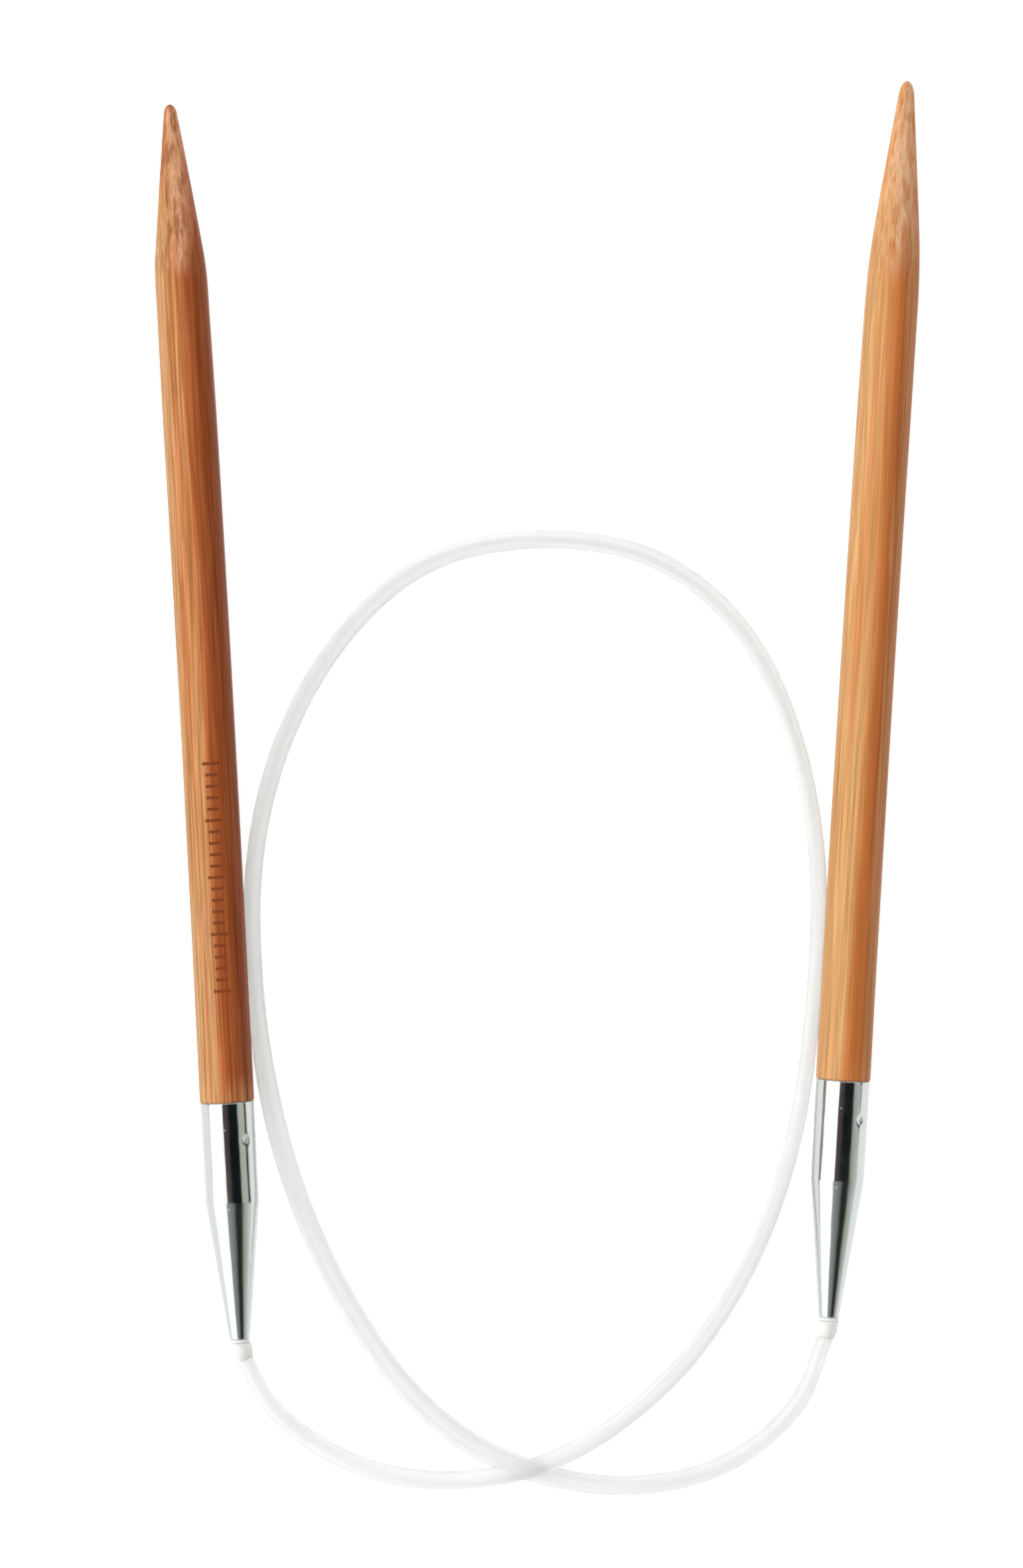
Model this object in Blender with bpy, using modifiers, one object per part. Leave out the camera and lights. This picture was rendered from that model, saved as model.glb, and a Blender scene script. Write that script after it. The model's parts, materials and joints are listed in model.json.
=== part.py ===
"""Circular knitting needle: two bamboo needles with metal ferrules, joined by one flexible cord.

The needles lie on a table, z = 0. +Y points towards their tips, +X to the right and +Z up, and the
origin is under the middle of the two needles' bounding box. Lengths are in metres.

Each needle is modelled along its own axis: local z = 0 is the ferrule's mouth, local +z runs to the
needle's tip, and the cord leaves towards local -z.
"""
import math

import bmesh
import bpy
import numpy as np
from mathutils import Matrix, Vector

MM = 0.001

# The needle: a shaft of bamboo, its tapered tip, and the spigot glued into the ferrule.
NEEDLE_R = 3.0 * MM
NEEDLE_LENGTH = 136.5 * MM
SPIGOT_R = 2.2 * MM
SPIGOT_LENGTH = 8.0 * MM

# The ferrule: a turned tube whose lower end is a cone that narrows to the mouth.
FERRULE_LENGTH = 26.2 * MM
FERRULE_R = 2.95 * MM
CONE_LENGTH = 15.1 * MM
MOUTH_R = 1.15 * MM
RIM_ROUND = 0.12 * MM
SOCKET_R = 2.35 * MM
SOCKET_DEPTH = 8.4 * MM
CHAMBER_R = 1.60 * MM
CHAMBER_START = 7.5 * MM
BORE_R = 0.98 * MM
STAKE_Z = 22.0 * MM
STAKE_R = 0.80 * MM
STAKE_DEPTH = 0.28 * MM
STAKE_ANGLE = math.radians(42)

# What holds the cord in the ferrule and lets it turn there.
CLEARANCE = 0.10 * MM
GLUE_GAP = 0.15 * MM
CORD_GAP = 0.30 * MM
NECK_R = 0.70 * MM
BUSH_R = 0.92 * MM
BUSH_DEPTH = 6.0 * MM
BUSH_RIM_R = 1.08 * MM
BUSH_RIM = 0.40 * MM
STOP_R = 1.45 * MM
STOP_LENGTH = 4.0 * MM
HEAD_R = 1.15 * MM
HEAD_LENGTH = 0.8 * MM
COLLAR_R = 1.15 * MM
COLLAR_LENGTH = 1.60 * MM
COLLAR_OFFSET = 0.38 * MM
STUB_R = 0.95 * MM
STUB_LENGTH = 0.80 * MM
STUB_DOME = (30, 55, 75)  # degrees round the stub's rounded end

# The cord: a nylon line, whose route is a smooth curve through hand-placed points (x, y, z) in
# millimetres. It leaves the left needle, passes over itself, runs once round the loop along both
# needles and goes into the right needle. Each end of the route is added by cord_route().
CORD_R = 1.0 * MM
CORD_STEP = 4.6 * MM
SPAN_SAMPLES = 24
CORD_POINTS = [
    (-30.0, -75.5, 2.9), (-25.5, -80.0, 2.8), (-20.0, -82.9, 2.9), (-13.5, -84.5, 3.1),
    (-7.0, -84.6, 3.35), (-0.5, -83.4, 3.45), (5.6, -80.7, 3.0), (11.0, -76.9, 2.3),
    (15.7, -72.4, 1.65), (19.7, -67.2, 1.2), (25.7, -55.5, 1.05), (29.2, -43.0, 1.05),
    (30.6, -31.0, 1.05), (31.0, -18.5, 1.05), (28.5, -3.5, 1.05), (22.9, 8.3, 1.05),
    (13.4, 16.3, 1.05), (0.6, 18.8, 1.05), (-12.2, 15.9, 1.05), (-22.0, 7.2, 1.05),
    (-28.2, -4.4, 1.05), (-31.1, -17.0, 1.05), (-31.2, -30.0, 1.05), (-29.2, -43.5, 1.05),
    (-25.4, -56.1, 1.05), (-19.4, -67.9, 1.05), (-11.3, -77.9, 1.05), (-5.7, -81.8, 1.05),
    (0.5, -84.2, 1.05), (7.0, -85.3, 1.05), (13.5, -85.1, 1.15), (20.0, -83.2, 1.5),
    (25.6, -79.5, 2.1), (29.6, -74.5, 2.75),
]

# The two needles, in millimetres and degrees: where each mouth is, how far each leans outwards, how
# far the collar and then the cord bend inwards from its axis, and the shape of its hand-finished tip:
# the end's radius, the taper's half angle, and the length over which the taper runs out.
NEEDLES = {
    "left": {
        "mouth": (-32.82, -69.48), "lean": 3.1, "collar_tilt": 14.0, "cord_tilt": 25.0,
        "tip_r": 0.75, "taper": 7.4, "blend": 4.5,
    },
    "right": {
        "mouth": (32.13, -67.05), "lean": -3.5, "collar_tilt": 7.0, "cord_tilt": 22.0,
        "tip_r": 0.92, "taper": 6.3, "blend": 9.0,
    },
}

# Round pieces have this many sides. A shaft's own flats touch the table, so its corners stand
# further out than its radius. The tubes' bevels give 10 sides to the ends and 8 to the long cord.
SIDES = 32
END_BEVEL = 3
CORD_BEVEL = 2
SIDE_ANGLE = 2 * math.pi / SIDES
CORNER = 1 / math.cos(SIDE_ANGLE / 2)
TIP_STEPS = 5
TAPER_STEPS = 9


def empty_the_scene():
    for item in list(bpy.data.objects):
        bpy.data.objects.remove(item, do_unlink=True)


def new_collection(name):
    collection = bpy.data.collections.new(name)
    bpy.context.scene.collection.children.link(collection)
    return collection


def material(name, colour, roughness, metallic=0.0, transmission=0.0):
    made = bpy.data.materials.new(name)
    made.use_nodes = True
    shader = made.node_tree.nodes["Principled BSDF"]
    shader.inputs["Base Color"].default_value = (*colour, 1.0)
    shader.inputs["Roughness"].default_value = roughness
    shader.inputs["Metallic"].default_value = metallic
    shader.inputs["Transmission Weight"].default_value = transmission
    return made


def turned(name, outline, look, parent, collection):
    """A solid of revolution about local z. The outline is a closed list of (radius, z) that runs
    down the outside and, on a hollow piece, back up the inside."""
    mesh = bpy.data.meshes.new(name)
    edges = [(i, i + 1) for i in range(len(outline) - 1)]
    if outline[0][0] > 0:
        edges.append((len(outline) - 1, 0))
    mesh.from_pydata([(radius, 0.0, z) for radius, z in outline], edges, [])
    mesh.materials.append(look)
    piece = bpy.data.objects.new(name, mesh)
    collection.objects.link(piece)
    piece.parent = parent
    screw = piece.modifiers.new("Turn", "SCREW")
    screw.axis = "Z"
    screw.steps = SIDES
    screw.render_steps = SIDES
    screw.use_merge_vertices = True
    screw.merge_threshold = 0.000005
    screw.use_smooth_shade = True
    return piece


def tube(name, points, radii, bevel, look, parent, collection):
    """A round tube along a polyline, with a radius of its own at each point."""
    curve = bpy.data.curves.new(name, "CURVE")
    curve.dimensions = "3D"
    curve.bevel_depth = max(radii)
    curve.bevel_resolution = bevel
    curve.use_fill_caps = True
    line = curve.splines.new("POLY")
    line.points.add(len(points) - 1)
    for point, place, radius in zip(line.points, points, radii):
        point.co = (*place, 1.0)
        point.radius = radius / max(radii)
    curve.materials.append(look)
    piece = bpy.data.objects.new(name, curve)
    collection.objects.link(piece)
    piece.parent = parent
    return piece


def shaft_outline(side):
    """From the rounded tip down the taper and the shaft to the foot of the spigot."""
    spec = NEEDLES[side]
    tip_r, blend = spec["tip_r"] * MM, spec["blend"] * MM
    half_angle = math.radians(spec["taper"])
    centre = NEEDLE_LENGTH - tip_r
    outline = []
    for i in range(TIP_STEPS + 1):
        angle = (math.pi / 2 - half_angle) * i / TIP_STEPS
        outline.append((tip_r * math.sin(angle), centre + tip_r * math.cos(angle)))
    slope = math.tan(half_angle)
    edge_r, edge_z = outline[-1]
    full_z = edge_z - (NEEDLE_R - edge_r) / slope
    for i in range(TAPER_STEPS + 1):
        along = i / TAPER_STEPS
        radius = NEEDLE_R - slope * blend * (1 - along) ** 2 / 2
        outline.append((radius, full_z + blend / 2 - blend * along))
    shoulder = FERRULE_LENGTH + GLUE_GAP
    foot = FERRULE_LENGTH - SPIGOT_LENGTH
    outline += [
        (NEEDLE_R, shoulder + RIM_ROUND), (NEEDLE_R - RIM_ROUND, shoulder),
        (SPIGOT_R, shoulder), (SPIGOT_R, foot + RIM_ROUND), (SPIGOT_R - RIM_ROUND, foot), (0.0, foot),
    ]
    return [(radius * CORNER, z) for radius, z in outline]


def ferrule_outline():
    """Down the cylinder and the cone, then up through the bore, the chamber and the socket."""
    return [
        (SOCKET_R + RIM_ROUND, FERRULE_LENGTH), (FERRULE_R - RIM_ROUND, FERRULE_LENGTH),
        (FERRULE_R, FERRULE_LENGTH - RIM_ROUND), (FERRULE_R, CONE_LENGTH),
        (MOUTH_R + RIM_ROUND, RIM_ROUND), (MOUTH_R, 0.0), (BORE_R, 0.0), (BORE_R, CHAMBER_START),
        (CHAMBER_R, CHAMBER_START), (CHAMBER_R, FERRULE_LENGTH - SOCKET_DEPTH),
        (SOCKET_R, FERRULE_LENGTH - SOCKET_DEPTH), (SOCKET_R, FERRULE_LENGTH - RIM_ROUND),
    ]


def bush_outline():
    """A thin sleeve in the mouth's bore, with a rim outside the mouth."""
    hole = NECK_R + CLEARANCE
    return [
        (hole, BUSH_DEPTH), (BUSH_R, BUSH_DEPTH), (BUSH_R, -CLEARANCE / 2), (BUSH_RIM_R, -CLEARANCE / 2),
        (BUSH_RIM_R, -BUSH_RIM + CLEARANCE), (BUSH_RIM_R - CLEARANCE, -BUSH_RIM), (hole, -BUSH_RIM),
    ]


def stop_outline():
    """The crimped tube that bears on the chamber's floor and keeps the cord in the ferrule."""
    low = CHAMBER_START + GLUE_GAP
    high = low + STOP_LENGTH
    hole = NECK_R + CLEARANCE
    waist = STOP_R - 2 * CLEARANCE
    third = STOP_LENGTH / 3
    return [
        (hole, high), (STOP_R, high), (STOP_R, high - third), (waist, high - third - CLEARANCE),
        (waist, low + third + CLEARANCE), (STOP_R, low + third), (STOP_R, low), (hole, low),
    ]


def collar_outline():
    """The clear collar round the cord's neck: a short cylinder that chamfers towards the cord."""
    hole = NECK_R + CLEARANCE
    return [
        (hole, 0.0), (COLLAR_R - RIM_ROUND, 0.0), (COLLAR_R, -RIM_ROUND), (COLLAR_R, -COLLAR_LENGTH / 2),
        (STUB_R, -COLLAR_LENGTH), (hole, -COLLAR_LENGTH),
    ]


def needle_frame(side):
    """The matrix whose local z is the needle's axis, pointing at its tip, from the ferrule's mouth."""
    spec = NEEDLES[side]
    x, y = spec["mouth"]
    stand = Matrix.Rotation(math.radians(spec["lean"]), 4, "Z") @ Matrix.Rotation(-math.pi / 2, 4, "X")
    return Matrix.Translation((x * MM, y * MM, NEEDLE_R)) @ stand


def outward(side, tilt):
    """Unit vector along which the cord leaves, turned inwards from the needle's axis by the tilt."""
    spec = NEEDLES[side]
    inwards = 1 if side == "left" else -1
    angle = math.radians(spec["lean"] + inwards * tilt)
    return Vector((math.sin(angle), -math.cos(angle), 0.0))


def cord_exit(side):
    """Where the collar's top, its foot and the cord's bending point are, from the mouth outwards."""
    spec = NEEDLES[side]
    rim = needle_frame(side) @ Vector((0, 0, -BUSH_RIM))
    collar_way = outward(side, spec["collar_tilt"])
    top = rim + collar_way * COLLAR_OFFSET
    foot = top + collar_way * (COLLAR_LENGTH + CORD_GAP)
    pivot = foot + outward(side, spec["cord_tilt"]) * STUB_LENGTH
    return rim, top, foot, pivot


def smooth_curve(points):
    """A natural cubic spline through the points. Returns closely spaced points along it."""
    knots = np.array(points, float)
    steps = np.linalg.norm(np.diff(knots, axis=0), axis=1)
    count = len(knots)
    system, wanted = np.eye(count), np.zeros((count, 3))
    for i in range(1, count - 1):
        before, after = steps[i - 1], steps[i]
        system[i, i - 1:i + 2] = before, 2 * (before + after), after
        wanted[i] = 6 * ((knots[i + 1] - knots[i]) / after - (knots[i] - knots[i - 1]) / before)
    bend = np.linalg.solve(system, wanted)
    dense = []
    for i, step in enumerate(steps):
        for t in np.linspace(0, step, SPAN_SAMPLES, endpoint=False):
            left, right = step - t, t
            dense.append(
                (bend[i] * left ** 3 + bend[i + 1] * right ** 3) / (6 * step)
                + (knots[i] / step - bend[i] * step / 6) * left
                + (knots[i + 1] / step - bend[i + 1] * step / 6) * right
            )
    dense.append(knots[-1])
    return np.array(dense)


def cord_route():
    """The cord's centreline between its two bending points, in even steps, less a gap at each end."""
    ends = [cord_exit(side)[3] for side in ("left", "right")]
    dense = smooth_curve([ends[0], *(Vector(p) * MM for p in CORD_POINTS), ends[1]])
    gone = np.concatenate([[0.0], np.cumsum(np.linalg.norm(np.diff(dense, axis=0), axis=1))])
    start = STUB_R + CORD_GAP
    end = gone[-1] - start
    places = np.linspace(start, end, round((end - start) / CORD_STEP) + 1)
    return [Vector([np.interp(at, gone, dense[:, k]) for k in range(3)]) for at in places]


def dent_cutter(side, parent, collection):
    """The round-nosed punch whose mark stakes the ferrule to the bamboo."""
    mesh = bpy.data.meshes.new(side + "_stake_punch")
    shape = bmesh.new()
    bmesh.ops.create_uvsphere(shape, u_segments=SIDES // 2, v_segments=SIDES // 4, radius=STAKE_R)
    shape.to_mesh(mesh)
    shape.free()
    punch = bpy.data.objects.new(mesh.name, mesh)
    collection.objects.link(punch)
    punch.parent = parent
    reach = FERRULE_R + STAKE_R - STAKE_DEPTH
    punch.location = (reach * math.sin(STAKE_ANGLE), -reach * math.cos(STAKE_ANGLE), STAKE_Z)
    punch.display_type = "WIRE"
    punch.hide_render = True
    return punch


def make_ferrule(side, look, parent, parts, cutters):
    ferrule = turned(side + "_ferrule", ferrule_outline(), look, parent, parts)
    punch = dent_cutter(side, parent, cutters)
    dent = ferrule.modifiers.new("Stake mark", "BOOLEAN")
    dent.operation = "DIFFERENCE"
    dent.solver = "EXACT"
    dent.object = punch


def make_needle(side, looks, parts, cutters):
    """The pieces that turn together about the needle's axis: shaft, ferrule and mouth bush."""
    axis = bpy.data.objects.new(side + "_needle_axis", None)
    parts.objects.link(axis)
    axis.matrix_world = needle_frame(side)
    shaft = turned(side + "_needle_shaft", shaft_outline(side), looks["bamboo"], axis, parts)
    shaft.rotation_euler.z = SIDE_ANGLE / 2
    make_ferrule(side, looks["chrome"], axis, parts, cutters)
    turned(side + "_mouth_bush", bush_outline(), looks["clear"], axis, parts)
    return axis


def make_cord_end(side, looks, axis, parts):
    """The pieces on the cord's end: its neck and stub, the collar outside, the stop inside."""
    rim, top, foot, pivot = cord_exit(side)
    base = bpy.data.objects.new(side + "_cord_pivot", None)
    parts.objects.link(base)
    base.location = pivot
    turned(side + "_cord_stop", stop_outline(), looks["brass"], axis, parts)
    collar = turned(side + "_cord_collar", collar_outline(), looks["clear"], base, parts)
    collar.location = top - pivot
    collar.rotation_euler = (-outward(side, NEEDLES[side]["collar_tilt"])).to_track_quat("Z", "Y").to_euler()

    frame = needle_frame(side)
    head_low = CHAMBER_START + GLUE_GAP + STOP_LENGTH + GLUE_GAP
    inner = [
        (head_low + HEAD_LENGTH, HEAD_R - CLEARANCE), (head_low + HEAD_LENGTH - CLEARANCE, HEAD_R),
        (head_low + CLEARANCE, HEAD_R), (head_low, NECK_R), (CHAMBER_START, NECK_R), (0.0, NECK_R),
    ]
    line = [(frame @ Vector((0, 0, z)), radius) for z, radius in inner]
    way = outward(side, NEEDLES[side]["cord_tilt"])
    line += [(rim, NECK_R), (foot, NECK_R), (foot + way * CLEARANCE, STUB_R), (pivot, STUB_R)]
    for degrees in STUB_DOME:
        angle = math.radians(degrees)
        line.append((pivot + way * STUB_R * math.sin(angle), STUB_R * math.cos(angle)))
    points = [place - pivot for place, _ in line]
    radii = [radius for _, radius in line]
    tube(side + "_cord_end", points, radii, END_BEVEL, looks["nylon"], base, parts)


def make_cord_loop(looks, parts):
    route = cord_route()
    tube("cord_loop", route, [CORD_R] * len(route), CORD_BEVEL, looks["nylon"], None, parts)


def main():
    empty_the_scene()
    parts = new_collection("circular_knitting_needle")
    cutters = new_collection("cutters")
    looks = {
        "bamboo": material("bamboo", (0.62, 0.30, 0.10), 0.38),
        "chrome": material("chrome", (0.78, 0.79, 0.80), 0.08, metallic=1.0),
        "clear": material("clear_plastic", (0.80, 0.84, 0.80), 0.20, transmission=0.6),
        "nylon": material("nylon_cord", (0.86, 0.88, 0.86), 0.28, transmission=0.3),
        "brass": material("brass", (0.78, 0.58, 0.26), 0.30, metallic=1.0),
    }
    for side in NEEDLES:
        axis = make_needle(side, looks, parts, cutters)
        make_cord_end(side, looks, axis, parts)
    make_cord_loop(looks, parts)
    bpy.context.view_layer.update()


main()
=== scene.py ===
"""Looks of the circular knitting needle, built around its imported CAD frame.

Two tapered bamboo needles lie side by side in chromed ferrules, and one translucent nylon cord runs
from the left ferrule over itself, round a loop and into the right ferrule. Lengths are in metres and
the row frame is the CAD's: +Y towards the tips, +X to the right, +Z up from the table at z = 0.

A piece that is turned on a needle's axis has local coordinates: local z = 0 is the ferrule's mouth,
local +z runs to the tip, local +x is the needle's right-hand side and local -y is its top.
"""

import json
import math

import bmesh
import bpy
import numpy as np
from mathutils import Matrix, Vector


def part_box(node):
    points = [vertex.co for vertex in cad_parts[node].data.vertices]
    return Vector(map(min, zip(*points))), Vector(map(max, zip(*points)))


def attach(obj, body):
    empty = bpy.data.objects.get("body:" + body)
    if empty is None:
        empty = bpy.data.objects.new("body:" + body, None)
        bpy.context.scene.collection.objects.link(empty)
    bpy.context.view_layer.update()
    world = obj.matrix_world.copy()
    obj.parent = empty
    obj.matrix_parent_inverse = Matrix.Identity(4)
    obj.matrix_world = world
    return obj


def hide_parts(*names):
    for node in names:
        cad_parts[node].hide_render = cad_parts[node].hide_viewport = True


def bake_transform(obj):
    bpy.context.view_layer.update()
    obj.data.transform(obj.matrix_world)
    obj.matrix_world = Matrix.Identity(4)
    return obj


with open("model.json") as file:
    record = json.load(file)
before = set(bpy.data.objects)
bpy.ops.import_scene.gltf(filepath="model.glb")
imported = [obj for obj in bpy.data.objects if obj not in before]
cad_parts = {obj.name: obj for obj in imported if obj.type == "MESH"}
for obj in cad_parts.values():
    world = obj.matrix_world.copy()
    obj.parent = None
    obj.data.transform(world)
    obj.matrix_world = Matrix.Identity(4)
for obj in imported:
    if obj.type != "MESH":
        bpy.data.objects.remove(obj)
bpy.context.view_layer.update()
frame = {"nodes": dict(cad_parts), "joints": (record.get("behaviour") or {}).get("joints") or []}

MM = 0.001
UP = Vector((0, 0, 1))
SIDES = ("left", "right")
OUTWARDS = {"left": -1, "right": 1}
JOINTS = {joint["name"]: joint for joint in frame["joints"]}

# The camera looks straight down on the flat lay, with the tips at the top of the picture. The height is
# that of the field of view at the needles' axes.
VIEW_CENTRE = (-2.85 * MM, -8.29 * MM)
VIEW_HEIGHT = 173.0 * MM
LENS_MM = 100.0
SENSOR_MM = 36.0
CLIP_END = 20.0

# The ferrule has the CAD's sizes, with a fine crease where its sleeve turns into the cone, and a softer
# dent where it is staked to the shaft. Only what is within STAKE_WALL of its outside is dented.
FERRULE_R = 2.95 * MM
FERRULE_LENGTH = 26.2 * MM
CONE_LENGTH = 15.1 * MM
MOUTH_R = 1.15 * MM
SOCKET_R = 2.35 * MM
SOCKET_DEPTH = 8.4 * MM
CHAMBER_R = 1.60 * MM
CHAMBER_START = 7.5 * MM
BORE_R = 0.98 * MM
EDGE_ROUND = 0.12 * MM
CREASE = 0.03 * MM
CREASE_DEPTH = 0.004 * MM
STAKE_Z = 22.0 * MM
STAKE_ANGLE = math.radians(42)
STAKE_WIDTH = 0.38 * MM
STAKE_DEPTH = 0.15 * MM
STAKE_WALL = 0.5 * MM

# The shaft, and each hand-finished tip: the radius and the height of its rounded end, its half angle,
# how long it blends in, how far its end is past the CAD's, how much is sanded off below the taper, and
# the phase of the sanding.
SPIGOT_R = 2.2 * MM
SPIGOT_LENGTH = 8.0 * MM
JOINT_GAP = 0.03 * MM
TIPS = {
    "left": {
        "end": 0.76 * MM, "height": 1.25 * MM, "taper": math.radians(7.4), "blend": 4.5 * MM,
        "past": -0.10 * MM, "sanded": 0.10 * MM, "phase": 0.7,
    },
    "right": {
        "end": 0.94 * MM, "height": 2.20 * MM, "taper": math.radians(6.3), "blend": 9.0 * MM,
        "past": 0.12 * MM, "sanded": 0.06 * MM, "phase": 2.1,
    },
}

# Sanding leaves slow swells, three faint flats, and a waist a little way below the taper. It fades in
# past the ferrule, and out where the tip is thin.
SWELL = 0.006 * MM
SWELL_LENGTH = 9.0 * MM
FLATS = 3
FLAT_DEPTH = 0.005 * MM
FLAT_LENGTH = 14.0 * MM
WAIST_BELOW = 4 * MM
WAIST_LENGTH = 9 * MM
SAND_FROM = 4 * MM
SAND_FADE = 6 * MM
THIN_R = 1.5 * MM

# Each shaft is bowed a little: its tip leans outwards and its middle inwards.
BOW_OUT = 1.00 * MM
BOW_IN = 0.65 * MM

# Plain ticks branded in the left needle: a row of short lines, with every fifth one longer.
TICK_FIRST = 38.5 * MM
TICK_PITCH = 1.25 * MM
TICK_COUNT = 21
TICK_TURN = math.radians(6)
TICK_LONG = math.radians(36)
TICK_SHORT = math.radians(25)
TICK_LONG_EVERY = 5
TICK_DEPTH = 0.06 * MM
TICK_WIDTH = 0.32 * MM

# What holds the cord: the neck on its end, with a melted head inside the ferrule, a bush in the mouth,
# and a clear collar that hangs off the mouth and tilts inwards. The collar's top is sheared over a share
# of its length, to meet the bush's rim.
CLEARANCE = 0.10 * MM
NECK_R = 0.70 * MM
NECK_OVERLAP = 0.10 * MM
BUSH_R = 0.92 * MM
BUSH_DEPTH = 6.0 * MM
BUSH_RIM_R = 1.08 * MM
BUSH_RIM = 0.40 * MM
HEAD_START = 11.8 * MM
HEAD_R = 1.15 * MM
HEAD_LENGTH = 0.8 * MM
COLLAR_R = 1.15 * MM
COLLAR_FOOT_R = 0.93 * MM
COLLAR_BEVEL_R = 0.96 * MM
COLLAR_BEVEL = 0.03 * MM
COLLAR_FIT = 0.02 * MM
COLLAR_LENGTH = 1.60 * MM
COLLAR_OFFSET = 0.38 * MM
COLLAR_GAP = 0.05 * MM
COLLAR_SHEAR = 0.7
COLLAR_TILT = {"left": math.radians(14.0), "right": math.radians(7.0)}

# The cord's route from the left ferrule to the right one, which starts just off each collar's foot. It
# rises to the ferrules and over itself, and below the height LIFTED it settles onto the table.
CORD_DIAMETER = 2.0 * MM
CORD_STEP = 0.7 * MM
CORD_GAP = 0.02 * MM
TABLE_GAP = 0.05 * MM
LIFTED = 1.6 * MM
CORD_POINTS = [
    (-0.0302, -0.0757, 0.00290), (-0.0257, -0.0802, 0.00280), (-0.0201, -0.0833, 0.00290),
    (-0.0136, -0.0849, 0.00310), (-0.0070, -0.0849, 0.00335), (-0.0004, -0.0836, 0.00345),
    (0.0057, -0.0809, 0.00300), (0.0112, -0.0771, 0.00230), (0.0160, -0.0726, 0.00165),
    (0.0200, -0.0674, 0.00120), (0.0260, -0.0556, 0.00105), (0.0293, -0.0430, 0.00105),
    (0.0307, -0.0310, 0.00105), (0.0311, -0.0185, 0.00105), (0.0286, -0.0035, 0.00105),
    (0.0230, 0.0084, 0.00105), (0.0135, 0.0164, 0.00105), (0.0006, 0.0188, 0.00105),
    (-0.0123, 0.0160, 0.00105), (-0.0221, 0.0073, 0.00105), (-0.0284, -0.0043, 0.00105),
    (-0.0313, -0.0170, 0.00105), (-0.03135, -0.0300, 0.00105), (-0.0295, -0.0435, 0.00105),
    (-0.0257, -0.0562, 0.00105), (-0.0197, -0.0681, 0.00105), (-0.0116, -0.0782, 0.00105),
    (-0.0059, -0.0822, 0.00105), (0.0003, -0.0847, 0.00105), (0.0070, -0.0859, 0.00105),
    (0.0136, -0.0857, 0.00115), (0.0202, -0.0838, 0.00150), (0.0259, -0.0799, 0.00210),
    (0.0299, -0.0746, 0.00275),
]

# The loop's top is the route's furthest point towards the tips, and the cord's two halves meet there.
LOOP_TOP = max(CORD_POINTS, key=lambda point: point[1])

# How many millimetres wide the oval cord is from above, at shares of its length from its left end.
CORD_WIDTHS = [
    (0.00, 1.76), (0.02, 1.95), (0.05, 2.08), (0.18, 1.95), (0.24, 1.76), (0.31, 1.74), (0.34, 1.86),
    (0.37, 1.84), (0.43, 2.00), (0.60, 2.02), (0.65, 1.90), (0.69, 1.95), (0.74, 2.28), (0.87, 2.44),
    (0.91, 2.14), (0.97, 1.96), (1.00, 1.76),
]

# How finely shapes are divided. The straight stretches have many rings, for the sanding and the dent.
TURN_SIDES = 128
SMALL_SIDES = 64
NECK_SIDES = 48
CORD_SIDES = 24
CAP_STEPS = 14
TAPER_STEPS = 20
BLEND_STEPS = 16
STRAIGHT_STEPS = 60
CONE_STEPS = 24
TICK_STEPS = 10
CURVE_STEPS = 40
SHARP = math.radians(32)

# What the shiny pieces see round them, by direction across the needles: degrees from straight up,
# towards the right, and the brightness there. The cones look a little towards the foot of the table,
# where FOOT_SKY shows a grey wall under the dark gear overhead. Past the tips there is a softbox, and a
# grey wall beyond it. Limits are the directions' y where each of these starts to show and shows fully.
SKY_PEAK = 2.0
SKY = [
    (-90, (0.42, 0.40, 0.34)), (-80, (0.46, 0.44, 0.38)), (-78, (2.0, 2.0, 2.0)), (-20, (2.0, 2.0, 2.0)),
    (-16, (0.13, 0.095, 0.098)), (2, (0.085, 0.062, 0.066)), (9, (0.010, 0.013, 0.018)),
    (44, (0.012, 0.018, 0.018)), (51, (0.64, 0.66, 0.58)), (77, (0.76, 0.74, 0.67)),
    (80, (0.05, 0.05, 0.045)), (86, (0.05, 0.05, 0.045)), (90, (0.80, 0.84, 0.81)),
]
FOOT_SKY = [
    (-90, (1.2, 1.2, 1.2)), (-80, (2.0, 2.0, 2.0)), (-27, (2.0, 2.0, 2.0)), (-20, (0.45, 0.495, 0.485)),
    (6, (0.27, 0.30, 0.29)), (24, (0.030, 0.032, 0.026)), (44, (0.050, 0.050, 0.040)),
    (56, (0.48, 0.50, 0.44)), (82, (0.80, 0.86, 0.82)), (90, (1.0, 1.05, 1.02)),
]
FOOT_LIMITS = (-0.09, -0.15)
TIP_BOX = (0.90, 0.90, 0.90)
TIP_BOX_LIMITS = (0.42, 0.50)
FAR_WALL = (0.28, 0.29, 0.30)
FAR_WALL_LIMITS = (0.72, 0.95)

# One large soft lamp overhead, a little to the left and towards the tips, and the floor's reach.
LAMP_PLACE = Vector((-0.15, 0.1, 0.9))
LAMP_SIDE = 0.9
LAMP_WATTS = 2.6
FLOOR_REACH = 4.0


# ---------------------------------------------------------------------------------------------
# Node helpers
# ---------------------------------------------------------------------------------------------

def fill(tree, node, values):
    """Gives a node's inputs their values: a socket is linked, anything else is a fixed value."""
    for key, value in values.items():
        if isinstance(value, bpy.types.NodeSocket):
            tree.links.new(value, node.inputs[key])
        else:
            node.inputs[key].default_value = value


def add(tree, kind, values=None, **settings):
    """A new node with those input values and settings."""
    made = tree.nodes.new(kind)
    for key, value in settings.items():
        setattr(made, key, value)
    fill(tree, made, values or {})
    return made


def calc(tree, operation, *values):
    """One step of arithmetic."""
    return add(tree, "ShaderNodeMath", dict(enumerate(values)), operation=operation).outputs[0]


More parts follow.
